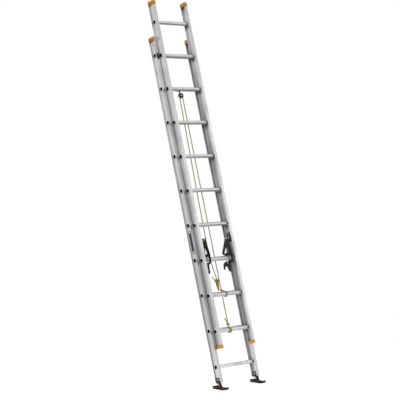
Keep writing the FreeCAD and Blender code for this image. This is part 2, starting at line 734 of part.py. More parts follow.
pins = []
springs = []
rivets = []
for name, side in SIDES.items():
    make_lock_mount(f"lock_mount_{name}", side)
    make_lock_hook(f"lock_hook_{name}", side)
    make_lock_finger(f"lock_finger_{name}", side)
    pin_ends = sorted((side * (S["lock_x"] - 4), side * (S["fly_face"] - S["wall"])))
    pivot_z = LOCK_Z + S["lock_pivot_rise"]
    pin = cylinder(S["lock_pin_radius"], pin_ends[1] - pin_ends[0], pin_ends[0], S["lock_pivot_y"], pivot_z)
    head_from = FreeCAD.Vector(side * (S["lock_x"] - 1), S["lock_pivot_y"], pivot_z)
    head = Part.makeCylinder(8, 3, head_from, FreeCAD.Vector(-side, 0, 0))
    pins.append(pin.fuse(head).removeSplitter())
    springs += spring_coils(side)
    mount_faces = sorted((side * (S["fly_face"] - S["wall"] - S["lock_mount_plate"]), side * S["fly_face"]))
    for y, rise in ((10, 150), (-6, 192)):
        rivets.append(domed_rivet(mount_faces[0], mount_faces[1], y, LOCK_Z + rise, S["rivet_radius"]))
    finger_ends = sorted((side * (S["finger_x"] - 0.6), side * (S["lock_x"] + S["lock_plate"])))
    finger_z = LOCK_Z + S["finger_rise"]
    stud = cylinder(
        S["finger_pin_radius"], finger_ends[1] - finger_ends[0], finger_ends[0], S["finger_y"], finger_z
    )
    for x, direction in ((finger_ends[0], -X_AXIS), (finger_ends[1], X_AXIS)):
        stud = stud.fuse(Part.makeCone(7, 5, 2, FreeCAD.Vector(x, S["finger_y"], finger_z), direction))
    group(f"lock_finger_pin_{name}", [stud.removeSplitter()])
group("lock_pivot_pins", pins)
group("lock_springs", springs)
group("lock_rivets", rivets)

# --- label plate -------------------------------------------------------------------------------------------

label = new_body("rail_label")
face = new_sketch(label, "YZ_Plane", "-base_face")
add_rectangle(
    face, "rung_gap - label_width / 2", "rung_gap + label_width / 2",
    "label_level - label_length / 2", "label_level + label_length / 2",
)
extrude(label, "Pad", face, "label_thick", backwards=True)
sub_part(label)

# --- halyard -----------------------------------------------------------------------------------------------


def route_wire(points, radii):
    """Straight runs joined by tangent arcs, each of a given radius or as large as its two runs allow."""
    edges = []
    at = points[0]
    for i in range(1, len(points) - 1):
        before = points[i] - points[i - 1]
        after = points[i + 1] - points[i]
        half = before.getAngle(after) / 2
        radius = radii.get(i, 0.45 * min(before.Length, after.Length) / math.tan(half))
        reach = radius * math.tan(half)
        into = points[i] - before.normalize() * reach
        out = points[i] + after.normalize() * reach
        bisector = (after - before).normalize()
        middle = points[i] + bisector * radius * (1 / math.cos(half) - 1)
        print(f"bend {i}: radius {radius:.1f} mm")
        if (into - at).Length > 1e-6:
            edges.append(Part.LineSegment(at, into).toShape())
        edges.append(Part.Arc(into, middle, out).toShape())
        at = out
    if (points[-1] - at).Length > 1e-6:
        edges.append(Part.LineSegment(at, points[-1]).toShape())
    return Part.Wire(edges)


def make_rope(label, points, radii):
    """A rope's solid along its route, with its volume compared with section times length."""
    wire = route_wire([FreeCAD.Vector(*point) for point in points], radii)
    start = wire.Edges[0].tangentAt(wire.Edges[0].FirstParameter)
    section = Part.Wire(Part.makeCircle(S["rope_radius"], FreeCAD.Vector(*points[0]), start))
    tube = wire.makePipeShell([section], True, True)
    expected = math.pi * S["rope_radius"] ** 2 * wire.Length
    print(f"{label}: length {wire.Length:.0f} mm, volume ratio {tube.Volume / expected:.4f}")
    return group(label, [tube])


RIGHT_LINE = S["sheave_x"] + S["sheave_pitch_radius"]
LEFT_LINE = S["sheave_x"] - S["sheave_pitch_radius"]
SHEAVE_TOP = SHEAVE_Z + S["sheave_pitch_radius"]
CORNER = S["sheave_pitch_radius"] * math.tan(math.radians(22.5))
HANK = (-23, 52, 1045)
FLY_LINE = [(RIGHT_LINE, S["sheave_y"], SHEAVE_Z), (-20, 22, 668)]
HAUL_LINE = [
    (RIGHT_LINE, S["sheave_y"], SHEAVE_Z),
    (RIGHT_LINE, S["sheave_y"], SHEAVE_Z + CORNER),
    (S["sheave_x"] + CORNER, S["sheave_y"], SHEAVE_TOP),
    (S["sheave_x"] - CORNER, S["sheave_y"], SHEAVE_TOP),
    (LEFT_LINE, S["sheave_y"], SHEAVE_Z + CORNER),
    (LEFT_LINE, S["sheave_y"], SHEAVE_Z - 60),
    (-72, 31, 1500),
    (-67, 34, 1210),
    (-36, 45, 1090),
    HANK,
]
make_rope("halyard_fly_line", FLY_LINE, {})
make_rope("halyard_haul_line", HAUL_LINE, {i: S["sheave_pitch_radius"] for i in range(1, 5)})


def capsule(radius, x, y, low, high):
    """An upright round-shouldered bundle with flat ends."""
    bundle = Part.makeCylinder(radius, high - low, FreeCAD.Vector(x, y, low))
    rims = [edge for edge in bundle.Edges if len(edge.Vertexes) == 1]
    return bundle.makeFillet(0.7 * radius, rims)


group("halyard_hank", [capsule(17, HANK[0], HANK[1], 934, HANK[2])])
around = S["rung_radius"] + S["rope_radius"] + 0.3
knot = [capsule(10, -20, 17, FLY_FIRST + 19, 668)]
knot += [Part.makeTorus(around, S["rope_radius"], FreeCAD.Vector(x, 0, FLY_FIRST), X_AXIS) for x in (-42, -32)]
tie_z = FLY_FIRST + S["pitch"]
knot += [Part.makeTorus(around, S["rope_radius"], FreeCAD.Vector(-2, 0, tie_z), X_AXIS)]
group("halyard_knot_and_tie", knot)

# --- checks and export -------------------------------------------------------------------------------------
doc.recompute()
for thing in doc.Objects:
    bad = {"Invalid", "Error"} & set(thing.State)
    if bad:
        raise RuntimeError(f"{thing.Label} is {bad}")
os.makedirs("parts", exist_ok=True)
for thing in nodes:
    shape = thing.Shape
    if shape.isNull() or not shape.isValid():
        raise RuntimeError(f"{thing.Label} has no valid shape")
    shape.exportStep(f"parts/{thing.Label}.step")
whole = Part.makeCompound([thing.Shape for thing in nodes]).BoundBox
print("nodes", len(nodes))
print("box", whole)
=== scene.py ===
import json
import math

import bmesh
import bpy
from mathutils import Matrix, Quaternion, Vector
from mathutils.bvhtree import BVHTree


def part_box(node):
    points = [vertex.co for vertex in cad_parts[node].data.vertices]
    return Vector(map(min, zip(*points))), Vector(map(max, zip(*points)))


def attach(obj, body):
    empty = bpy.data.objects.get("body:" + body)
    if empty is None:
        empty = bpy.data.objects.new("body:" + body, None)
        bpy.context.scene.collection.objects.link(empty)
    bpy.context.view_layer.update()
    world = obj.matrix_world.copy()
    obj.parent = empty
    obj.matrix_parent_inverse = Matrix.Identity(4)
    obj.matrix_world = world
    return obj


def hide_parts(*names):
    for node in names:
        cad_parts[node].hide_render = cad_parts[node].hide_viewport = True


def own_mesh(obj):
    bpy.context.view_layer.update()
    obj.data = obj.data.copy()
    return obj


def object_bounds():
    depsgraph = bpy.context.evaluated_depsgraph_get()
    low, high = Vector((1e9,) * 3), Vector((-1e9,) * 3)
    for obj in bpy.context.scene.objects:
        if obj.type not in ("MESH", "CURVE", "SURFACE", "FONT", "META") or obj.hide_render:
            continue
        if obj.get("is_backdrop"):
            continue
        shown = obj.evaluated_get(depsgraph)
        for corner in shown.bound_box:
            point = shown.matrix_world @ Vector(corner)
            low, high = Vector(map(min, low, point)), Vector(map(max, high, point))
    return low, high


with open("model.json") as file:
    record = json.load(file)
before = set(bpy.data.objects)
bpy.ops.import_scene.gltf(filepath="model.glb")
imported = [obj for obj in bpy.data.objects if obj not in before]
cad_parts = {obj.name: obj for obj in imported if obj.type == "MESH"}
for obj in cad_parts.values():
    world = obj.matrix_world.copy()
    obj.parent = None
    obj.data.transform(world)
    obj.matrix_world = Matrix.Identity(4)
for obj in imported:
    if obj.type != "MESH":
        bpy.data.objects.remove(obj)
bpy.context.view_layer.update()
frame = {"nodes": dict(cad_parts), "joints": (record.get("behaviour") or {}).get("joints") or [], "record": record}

# A two-section extension ladder, leaned back. Metres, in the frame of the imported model. Most places are given
# in the ladder's own directions: across (x), back through its thickness (y) and up along its rails (z).

PITCH = 0.3048
RUNG_GAP = 0.057
RUNG_RADIUS = 0.017
ROPE_RADIUS = 0.00475
ROPE_TWIST = 0.034
ROPE_STEP = 0.0026
ROPE_STRANDS = 3
STRAND_RADIUS = 0.464
STRAND_STEPS = 8
END_CONE = 0.35
RING_STEPS = 12
MERGE_WITHIN = 0.00002
SIDES = {"left": -1, "right": 1}

JOINTS = {joint["name"]: joint for joint in frame["joints"]}
ACROSS = Vector((1.0, 0.0, 0.0))
UP = Vector(JOINTS["fly_slide"]["axis"]).normalized()
BACK = Vector((0.0, UP.z, -UP.y))
LEAN = math.atan2(UP.y, UP.z)
RUNG_LOW, RUNG_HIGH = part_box("base_rung_01")
ORIGIN = (RUNG_LOW + RUNG_HIGH) / 2 - BACK * RUNG_GAP - UP * PITCH
FLY_DROP = RUNG_GAP * math.tan(LEAN)
FLY_FIRST = 2 * PITCH - FLY_DROP


def at(x, y, z):
    """A point given across, back and up the ladder."""
    return ORIGIN + ACROSS * x + BACK * y + UP * z


def from_mm(points):
    """Points of the ladder's own directions, in millimetres, as points of the frame."""
    return [at(x / 1000, y / 1000, z / 1000) for x, y, z in points]


def link(thing):
    bpy.context.scene.collection.objects.link(thing)
    return thing


# --- camera, floor and light -------------------------------------------------------------------------------

CAMERA_PLACE = ORIGIN + Vector((-6.94, -7.673, 1.9636))
CAMERA_LOOK = Vector((0.6460, 0.7629, -0.0273))
CAMERA_ROLL = math.radians(-1.777)
CAMERA_LENS = 111.5
WORLD_TONES = ((0.36, 0.22), (0.53, 0.62), (1.0, 0.90))
FLOOR_HALF = 2.6
FLOOR_GLOW = 0.30
FLOOR_FADE = {"From Min": 0.6, "From Max": 2.5}


def add_camera():
    data = bpy.data.cameras.new("camera")
    data.lens = CAMERA_LENS
    data.sensor_width = 36.0
    camera = link(bpy.data.objects.new("camera", data))
    camera.rotation_mode = "QUATERNION"
    camera.location = CAMERA_PLACE
    roll = Quaternion((0.0, 0.0, 1.0), CAMERA_ROLL)
    camera.rotation_quaternion = CAMERA_LOOK.to_track_quat("-Z", "Y") @ roll
    bpy.context.scene.camera = camera


def add_area_light(name, place, aim, size, power):
    data = bpy.data.lights.new(name, "AREA")
    data.shape = "RECTANGLE"
    data.size, data.size_y = size
    data.energy = power
    lamp = link(bpy.data.objects.new(name, data))
    lamp.location = place
    lamp.rotation_mode = "QUATERNION"
    lamp.rotation_quaternion = (Vector(aim) - Vector(place)).to_track_quat("-Z", "Y")


def add_world():
    """A soft pale room, dimmer under the horizon, and plain white where the camera looks past the object."""
    world = bpy.data.worlds.new("studio")
    world.use_nodes = True
    bpy.context.scene.world = world
    nodes, links = world.node_tree.nodes, world.node_tree.links
    place = nodes.new("ShaderNodeTexCoord")
    split = nodes.new("ShaderNodeSeparateXYZ")
    level = nodes.new("ShaderNodeMapRange")
    level.inputs["From Min"].default_value = -1.0
    ramp = nodes.new("ShaderNodeValToRGB")
    ramp.color_ramp.elements.new(0.5)
    for element, (position, tone) in zip(ramp.color_ramp.elements, WORLD_TONES):
        element.position = position
        element.color = (tone, tone, tone, 1.0)
    room = nodes["Background"]
    white = nodes.new("ShaderNodeBackground")
    white.inputs["Color"].default_value = (1.0, 1.0, 1.0, 1.0)
    seen = nodes.new("ShaderNodeLightPath")
    mix = nodes.new("ShaderNodeMixShader")
    links.new(place.outputs["Generated"], split.inputs["Vector"])
    links.new(split.outputs["Z"], level.inputs["Value"])
    links.new(level.outputs["Result"], ramp.inputs["Fac"])
    links.new(ramp.outputs["Color"], room.inputs["Color"])
    links.new(seen.outputs["Is Camera Ray"], mix.inputs["Fac"])
    links.new(room.outputs["Background"], mix.inputs[1])
    links.new(white.outputs["Background"], mix.inputs[2])
    links.new(mix.outputs["Shader"], nodes["World Output"].inputs["Surface"])


def add_floor():
    """A plain pale floor that fades away round the object, so that nothing but the room is seen past it."""
    mesh = bpy.data.meshes.new("floor")
    corners = [(x * FLOOR_HALF, y * FLOOR_HALF, 0.0) for x, y in ((-1, -1), (1, -1), (1, 1), (-1, 1))]
    mesh.from_pydata(corners, [], [(0, 1, 2, 3)])
    floor = link(bpy.data.objects.new("floor", mesh))
    material = bpy.data.materials.new("floor")
    material.use_nodes = True
    nodes, links = material.node_tree.nodes, material.node_tree.links
    shader = nodes["Principled BSDF"]
    shader.inputs["Base Color"].default_value = (0.93, 0.93, 0.93, 1.0)
    shader.inputs["Roughness"].default_value = 0.9
    shader.inputs["Specular IOR Level"].default_value = 0.1
    shader.inputs["Emission Color"].default_value = (1.0, 1.0, 1.0, 1.0)
    shader.inputs["Emission Strength"].default_value = FLOOR_GLOW
    clear = nodes.new("ShaderNodeBsdfTransparent")
    place = nodes.new("ShaderNodeTexCoord")
    far = nodes.new("ShaderNodeVectorMath")
    far.operation = "LENGTH"
    fade = nodes.new("ShaderNodeMapRange")
    fade.interpolation_type = "SMOOTHSTEP"
    for key, distance in FLOOR_FADE.items():
        fade.inputs[key].default_value = distance
    mix = nodes.new("ShaderNodeMixShader")
    links.new(place.outputs["Object"], far.inputs[0])
    links.new(far.outputs["Value"], fade.inputs["Value"])
    links.new(fade.outputs["Result"], mix.inputs["Fac"])
    links.new(shader.outputs["BSDF"], mix.inputs[1])
    links.new(clear.outputs["BSDF"], mix.inputs[2])
    links.new(mix.outputs["Shader"], nodes["Material Output"].inputs["Surface"])
    mesh.materials.append(material)
    floor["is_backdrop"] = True


add_camera()
add_world()
add_floor()
add_area_light("key", (-3.0, -4.5, 5.5), (0.0, 0.0, 1.6), (3.0, 3.0), 75.0)
add_area_light("front", (4.5, -3.5, 3.0), (0.0, 0.0, 1.6), (2.0, 3.5), 30.0)
add_area_light("rear", (1.5, 5.0, 4.5), (0.0, 0.0, 1.8), (3.0, 2.0), 40.0)
add_area_light("side", (-4.5, 4.2, 2.2), (0.0, 0.0, 1.6), (7.0, 6.0), 62.0)
bpy.context.scene.view_settings.view_transform = "Standard"

# --- materials ---------------------------------------------------------------------------------------------


def color_sockets(sockets):
    return [socket for socket in sockets if socket.type == "RGBA"]


class Paint:
    """A material being made: its shader and the few kinds of node that the finishes here are built from."""

    def __init__(self, name, color, roughness, metallic=0.0):
        self.material = bpy.data.materials.new(name)
        self.material.use_nodes = True
        self.tree = self.material.node_tree
        self.shader = self.tree.nodes["Principled BSDF"]
        self.heights = []
        self.shader.inputs["Base Color"].default_value = (*color, 1.0)
        self.shader.inputs["Roughness"].default_value = roughness
        self.shader.inputs["Metallic"].default_value = metallic

    def node(self, kind, **settings):
        made = self.tree.nodes.new("ShaderNode" + kind)
        for key, value in settings.items():
            setattr(made, key, value)
        return made

    def join(self, output, socket):
        self.tree.links.new(output, socket)
        return self

    def place(self, scale, offset=(0.0, 0.0, 0.0), leaned=True):
        """The object's own place, turned so that Z runs along the rails, and stretched."""
        where = self.node("TexCoord").outputs["Object"]
        turn = self.node("Mapping")
        turn.inputs["Rotation"].default_value = (LEAN if leaned else 0.0, 0.0, 0.0)
        stretch = self.node("Mapping")
        stretch.inputs["Location"].default_value = offset
        stretch.inputs["Scale"].default_value = scale
        self.join(where, turn.inputs["Vector"])
        self.join(turn.outputs["Vector"], stretch.inputs["Vector"])
        return stretch.outputs["Vector"]

    def noise(self, place, detail):
        made = self.node("TexNoise")
        made.inputs["Scale"].default_value = 1.0
        made.inputs["Detail"].default_value = detail
        self.join(place, made.inputs["Vector"])
        return made.outputs["Fac"]

    def fit(self, value, low, high, to_low=0.0, to_high=1.0):
        """The value mapped from one range to another, and held inside it."""
        made = self.node("MapRange", interpolation_type="SMOOTHSTEP")
        numbers = {"From Min": low, "From Max": high, "To Min": to_low, "To Max": to_high}
        for key, number in numbers.items():
            made.inputs[key].default_value = number
        self.join(value, made.inputs["Value"])
        return made.outputs["Result"]

    def math(self, operation, first, second=None):
        made = self.node("Math", operation=operation)
        for index, value in enumerate((first, second)):
            if isinstance(value, (int, float)):
                made.inputs[index].default_value = value
            elif value is not None:
                self.join(value, made.inputs[index])
        return made.outputs["Value"]

    def blend(self, factor, first, second):
        """A colour between two, each a colour or another node's output."""
        made = self.node("Mix", data_type="RGBA")
        self.join(factor, made.inputs["Factor"])
        for socket, color in zip(color_sockets(made.inputs), (first, second)):
            if isinstance(color, tuple):
                socket.default_value = (*color, 1.0)
            else:
                self.join(color, socket)
        return color_sockets(made.outputs)[0]

    def painted_crevice_shade(self, color, reach, depth):
        """The colour, darkened where other faces stand close by: painted shade in the gaps and crevices between
        parts.
        """
        shade = self.node("AmbientOcclusion", samples=8, only_local=False)
        shade.inputs["Distance"].default_value = reach
        open_share = self.fit(shade.outputs["AO"], 0.05, 0.75, depth, 1.0)
        made = self.node("Mix", data_type="RGBA", blend_type="MULTIPLY")
        made.inputs["Factor"].default_value = 1.0
        for socket, output in zip(color_sockets(made.inputs), (color, open_share)):
            self.join(output, socket)
        return color_sockets(made.outputs)[0]

    def color(self, output):
        return self.join(output, self.shader.inputs["Base Color"])

    def roughness(self, output):
        return self.join(output, self.shader.inputs["Roughness"])

    def bump(self, height, depth, strength=1.0):
        """Adds relief of that depth in metres, on top of any relief already there."""
        made = self.node("Bump")
        made.inputs["Strength"].default_value = strength
        made.inputs["Distance"].default_value = depth
        self.join(height, made.inputs["Height"])
        if self.heights:
            self.join(self.heights[-1], made.inputs["Normal"])
        self.heights.append(made.outputs["Normal"])
        return self.join(made.outputs["Normal"], self.shader.inputs["Normal"])


METALLIC = 0.85
BORE_RADIUS = 0.0150
CUT_END_RADIUS = 0.0163
BORE_PAINTED_SHADE = (0.004, 0.004, 0.004)


def aluminium(name, tone, streak):
    """Extruded aluminium: die lines along it, dull patches from handling, a few bright scuffs across it, and
    painted shade in its crevices.
    """
    paint = Paint(name, tone, 0.38, METALLIC)
    lines = paint.noise(paint.place(streak), 4.0)
    patches = paint.noise(paint.place((9.0, 9.0, 5.0)), 5.0)
    scuffs = paint.noise(paint.place((60.0, 60.0, 420.0)), 2.0)
    scuffed = paint.fit(scuffs, 0.66, 0.72)
    dark = tuple(0.86 * channel for channel in tone)
    dull = tuple(0.80 * channel for channel in tone)
    bright = tuple(min(1.0, 1.12 * channel) for channel in tone)
    drawn = paint.blend(paint.fit(lines, 0.3, 0.7), dark, tone)
    handled = paint.blend(paint.fit(patches, 0.52, 0.78), drawn, dull)
    # Painted shade: the colour darkens where other faces stand close by, as in the gap between the rails.
    paint.color(paint.painted_crevice_shade(paint.blend(scuffed, handled, bright), 0.045, 0.25))
    paint.roughness(paint.fit(patches, 0.3, 0.75, 0.30, 0.52))
    paint.bump(lines, 0.0001)
    paint.bump(patches, 0.0004, 0.4)
    return paint


def rung_aluminium(name, gap, first):
    """The same metal drawn across the ladder, with painted shade making each rung's bore and cut ends as dark as
    an open tube's.
    """
    paint = aluminium(name, (0.76, 0.76, 0.765), (3.0, 600.0, 600.0))
    start = at(0.0, gap, first)
    turned = Matrix.Rotation(LEAN, 3, "X") @ start
    centred = paint.place((1.0, 1.0, 1.0), offset=(0.0, -turned.y, -turned.z))
    split = paint.node("SeparateXYZ")
    paint.join(centred, split.inputs["Vector"])
    steps = paint.math("DIVIDE", split.outputs["Z"], PITCH)
    nearest = paint.math("ROUND", steps)
    rise = paint.math("MULTIPLY", paint.math("SUBTRACT", steps, nearest), PITCH)
    square = paint.math("ADD", paint.math("POWER", rise, 2.0), paint.math("POWER", split.outputs["Y"], 2.0))
    reach = paint.math("SQRT", square)
    # Painted shade: the bore and the cut end faces of each rung are coloured near black and made non-metallic.
    bore = paint.math("LESS_THAN", reach, BORE_RADIUS)
    facing = paint.node("SeparateXYZ")
    paint.join(paint.node("TexCoord").outputs["Normal"], facing.inputs["Vector"])
    cut_end = paint.math("GREATER_THAN", paint.math("ABSOLUTE", facing.outputs["X"]), 0.9)
    rim = paint.math("MULTIPLY", cut_end, paint.math("LESS_THAN", reach, CUT_END_RADIUS))
    inside = paint.math("MAXIMUM", bore, rim)
    metal = paint.shader.inputs["Base Color"].links[0].from_socket
    paint.color(paint.blend(inside, metal, BORE_PAINTED_SHADE))
    outside = paint.math("SUBTRACT", 1.0, inside)
    paint.join(paint.math("MULTIPLY", outside, METALLIC), paint.shader.inputs["Metallic"])
    return paint.material


def moulded_plastic(name, color):
    """Moulded plastic: a fine spark-eroded grain, faint flow marks, and pale rubbed patches."""
    paint = Paint(name, color, 0.42)
    grit = paint.noise(paint.place((2600.0, 2600.0, 2600.0)), 2.0)
    flow = paint.noise(paint.place((22.0, 22.0, 30.0)), 4.0)
    rubbed = paint.noise(paint.place((70.0, 70.0, 50.0)), 6.0)
    deep = tuple(0.72 * channel for channel in color)
    pale = tuple(0.85 * channel + 0.06 for channel in color)
    shade = paint.blend(paint.fit(flow, 0.3, 0.7), deep, color)
    paint.color(paint.blend(paint.fit(rubbed, 0.60, 0.74, 0.0, 0.55), shade, pale))
    paint.roughness(paint.fit(flow, 0.25, 0.75, 0.34, 0.55))
    paint.bump(grit, 0.00012, 0.6)
    paint.bump(rubbed, 0.00035, 0.4)
    return paint.material


def coated_steel(name, color, chip_color, chip_level):
    """Steel under a dark coating with orange-peel relief, worn through in small chips."""
    paint = Paint(name, color, 0.40)
    paint.shader.inputs["Specular IOR Level"].default_value = 0.32
    peel = paint.noise(paint.place((420.0, 420.0, 420.0)), 2.0)
    dirt = paint.noise(paint.place((28.0, 28.0, 28.0)), 5.0)
    chips = paint.noise(paint.place((150.0, 150.0, 110.0)), 8.0)
    chipped = paint.fit(chips, chip_level, chip_level + 0.03)
    dusty = tuple(0.9 * channel + 0.008 for channel in color)
    dressed = paint.blend(paint.fit(dirt, 0.45, 0.75), color, dusty)
    paint.color(paint.blend(chipped, dressed, chip_color))
    paint.roughness(paint.fit(dirt, 0.3, 0.75, 0.32, 0.62))
    paint.join(paint.fit(chips, chip_level, chip_level + 0.03, 0.0, 0.9), paint.shader.inputs["Metallic"])
    paint.bump(peel, 0.00015, 0.5)
    paint.bump(chipped, 0.00008, 0.5)
    return paint.material


def plated_steel(name, color):
    """Zinc-plated steel: bright, clouded, with a few tan stains."""
    paint = Paint(name, color, 0.30, 1.0)
    cloud = paint.noise(paint.place((160.0, 160.0, 160.0)), 4.0)
    stain = paint.noise(paint.place((90.0, 90.0, 60.0)), 6.0)
    shade = paint.blend(paint.fit(cloud, 0.35, 0.7), color, tuple(0.78 * channel for channel in color))
    paint.color(paint.blend(paint.fit(stain, 0.62, 0.75, 0.0, 0.8), shade, (0.22, 0.13, 0.07)))
    paint.roughness(paint.fit(cloud, 0.3, 0.7, 0.22, 0.45))
    paint.bump(cloud, 0.0001, 0.4)
    return paint.material


def tread_rubber():
    """Black rubber, pebbled, with pale dust in patches."""
    black = (0.008, 0.008, 0.008)
    paint = Paint("tread_rubber", black, 0.8)
    paint.shader.inputs["Specular IOR Level"].default_value = 0.25
    pebble = paint.noise(paint.place((900.0, 900.0, 900.0), leaned=False), 2.0)
    dust = paint.noise(paint.place((45.0, 45.0, 90.0), leaned=False), 6.0)
    paint.color(paint.blend(paint.fit(dust, 0.54, 0.76, 0.0, 0.6), black, (0.07, 0.062, 0.055)))
    paint.roughness(paint.fit(dust, 0.3, 0.7, 0.65, 0.95))
    paint.bump(pebble, 0.0003, 0.6)
    return paint.material


def rope_material():
    """Yellow polypropylene: painted shade where the strands meet, with yarns running along each strand."""
    paint = Paint("yellow_rope", (0.50, 0.40, 0.06), 0.5)
    lay = paint.node("UVMap", uv_map="lay")
    split = paint.node("SeparateXYZ")
    paint.join(lay.outputs["UV"], split.inputs["Vector"])
    strand = paint.math("FRACT", paint.math("MULTIPLY", split.outputs["Y"], ROPE_STRANDS))
    edge = paint.math("ABSOLUTE", paint.math("SUBTRACT", strand, 0.5))
    strand_painted_shade = paint.fit(edge, 0.16, 0.46, 1.0, 0.0)
    yarn = paint.math("SINE", paint.math("MULTIPLY", split.outputs["Y"], 2 * math.pi * 7 * ROPE_STRANDS))
    soil = paint.noise(paint.place((60.0, 60.0, 40.0)), 5.0)
    fibre = paint.noise(paint.place((1600.0, 1600.0, 500.0)), 3.0)
    # Painted shade: dark olive in the valleys where the strands meet, yellow on their crowns.
    shade = paint.blend(strand_painted_shade, (0.10, 0.078, 0.006), (0.60, 0.47, 0.040))
    ribbed = paint.blend(paint.fit(yarn, -1.0, 1.0, 0.0, 0.25), shade, (0.24, 0.185, 0.016))
    paint.color(paint.blend(paint.fit(soil, 0.50, 0.75, 0.0, 0.45), ribbed, (0.16, 0.12, 0.04)))
    paint.roughness(paint.fit(soil, 0.3, 0.7, 0.42, 0.7))
    paint.shader.inputs["Sheen Weight"].default_value = 0.15
    paint.bump(yarn, 0.00018, 0.6)
    paint.bump(fibre, 0.00015, 0.5)
    return paint.material


def printed_film(name, color):
    """Smooth printed film, slightly scuffed."""
    paint = Paint(name, color, 0.35)
    scuff = paint.noise(paint.place((180.0, 180.0, 30.0)), 6.0)
    grey = tuple(0.7 * channel + 0.10 for channel in color)
    paint.color(paint.blend(paint.fit(scuff, 0.56, 0.72, 0.0, 0.5), color, grey))
    paint.roughness(paint.fit(scuff, 0.3, 0.7, 0.28, 0.6))
    return paint.material


ALUMINIUM = aluminium("rail_aluminium", (0.70, 0.70, 0.705), (700.0, 700.0, 3.0)).material
BASE_RUNG = rung_aluminium("base_rung_aluminium", RUNG_GAP, PITCH)
FLY_RUNG = rung_aluminium("fly_rung_aluminium", 0.0, FLY_FIRST)
ORANGE = moulded_plastic("orange_cap", (0.80, 0.32, 0.018))
SHOE_STEEL = coated_steel("shoe_steel", (0.034, 0.013, 0.007), (0.22, 0.16, 0.12), 0.67)
GUIDE_GREY = coated_steel("guide_grey", (0.055, 0.055, 0.057), (0.25, 0.25, 0.25), 0.68)
RUBBER = tread_rubber()
PLATED = plated_steel("plated_bolt", (0.62, 0.60, 0.56))
RIVET = plated_steel("rivet_steel", (0.68, 0.68, 0.68))
LOCK_BLACK = coated_steel("lock_black", (0.004, 0.004, 0.004), (0.16, 0.16, 0.16), 0.70)
LOCK_BRACKET = coated_steel("lock_bracket", (0.008, 0.008, 0.009), (0.18, 0.18, 0.18), 0.70)
PULLEY_STEEL = coated_steel("pulley_steel", (0.045, 0.036, 0.030), (0.28, 0.25, 0.22), 0.64)
PULLEY_BLACK = moulded_plastic("pulley_black", (0.012, 0.012, 0.012))
NYLON = moulded_plastic("pulley_nylon", (0.050, 0.046, 0.042))
LABEL_BLACK = printed_film("label_black", (0.010, 0.010, 0.010))
LABEL_PALE = printed_film("label_pale", (0.72, 0.73, 0.74))
ROPE = rope_material()

# --- carried-over parts and softened copies ----------------------------------------------------------------


SLOT_MATERIALS = {
    "rail_aluminium": ALUMINIUM,
    "orange_cap": ORANGE,
    "shoe_steel": SHOE_STEEL,
    "shoe_rubber": RUBBER,
    "plated_bolt": PLATED,
    "rivet_steel": RIVET,
    "lock_black": LOCK_BLACK,
    "lock_bracket": LOCK_BRACKET,
    "pulley_steel": PULLEY_STEEL,
    "pulley_black": PULLEY_BLACK,
    "pulley_nylon": NYLON,
    "label_black": LABEL_BLACK,
    "yellow_rope": ROPE,
}
SLOT_OF = {row["node"]: row["material_slot"] for row in frame["record"]["subparts"]}
BODY_OF = {node: body for body, members in frame["record"]["behaviour"]["bodies"].items() for node in members}


def material_of(node):
    if SLOT_OF[node] == "rung_aluminium":
        return BASE_RUNG if node.startswith("base") else FLY_RUNG
    return SLOT_MATERIALS[SLOT_OF[node]]


for node, piece in frame["nodes"].items():
    piece.data.materials.clear()
    piece.data.materials.append(material_of(node))


def new_piece(name, mesh, body, slot, *replaced):
    """A piece of the object that rides on a body, hiding any nodes it stands for. Its slot argument is not used.
    """
    piece = link(bpy.data.objects.new(name, mesh))
    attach(piece, body)
    if replaced:
        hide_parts(*replaced)
    return piece


def bevel_edges(piece, radius, segments, method):
    edges = piece.modifiers.new("edges", "BEVEL")
    edges.width = radius
    edges.segments = segments
    edges.limit_method = method
    return edges


def clean_shape(node):
    """A node's shape with its doubled points merged and its flat faces made whole."""
    shape = bmesh.new()
    shape.from_mesh(frame["nodes"][node].data)
    bmesh.ops.remove_doubles(shape, verts=shape.verts, dist=MERGE_WITHIN)
    bmesh.ops.dissolve_limit(shape, angle_limit=math.radians(0.5), verts=shape.verts, edges=shape.edges)
    return shape


def stand_in(node, shape, radius, segments, method):
    """Stands for a node with a shape whose edges a modifier rounds. Returns the modifier."""
    mesh = bpy.data.meshes.new(node + "_soft")
    shape.to_mesh(mesh)
    shape.free()
    mesh.materials.append(material_of(node))
    piece = new_piece(node + "_soft", mesh, BODY_OF[node], SLOT_OF[node], node)
    edges = bevel_edges(piece, radius, segments, method)
    edges.use_clamp_overlap = False
    edges.harden_normals = True
    mesh.shade_smooth()
    return edges


CLEAR_OF_FACE = 0.0001


def outer_faces(shape, mouth):
    """The faces of a cap that nothing of it hides, but for its rim, whose faces look along mouth."""
    solid = BVHTree.FromBMesh(shape)
    found = set()
    for face in shape.faces:
        start = face.calc_center_median() + face.normal * CLEAR_OF_FACE
        hit = solid.ray_cast(start, face.normal, 0.5)[0]
        if hit is None and face.normal.dot(mouth) < 0.9:
            found.add(face)
    return found


def soften_cap(node, radius):
    """Stands for a cap with the same shape, its outer edges well rounded and its thin rim left as it is."""
    shape = clean_shape(node)
    shape.normal_update()
    outer = outer_faces(shape, UP if "foot" in node else -UP)
    weight = shape.edges.layers.float.new("bevel_weight_edge")
    for edge in shape.edges:
        if len(edge.link_faces) == 2 and all(face in outer for face in edge.link_faces):
            edge[weight] = 1.0 if edge.calc_face_angle_signed() > 0.5 else 0.0
    stand_in(node, shape, radius, 5, "WEIGHT")


def soften(node, radius, segments=3):
    """Stands for a node with the same shape, its sharp edges rounded as a moulding's or a casting's are."""
    edges = stand_in(node, clean_shape(node), radius, segments, "ANGLE")
    edges.angle_limit = math.radians(32.0)


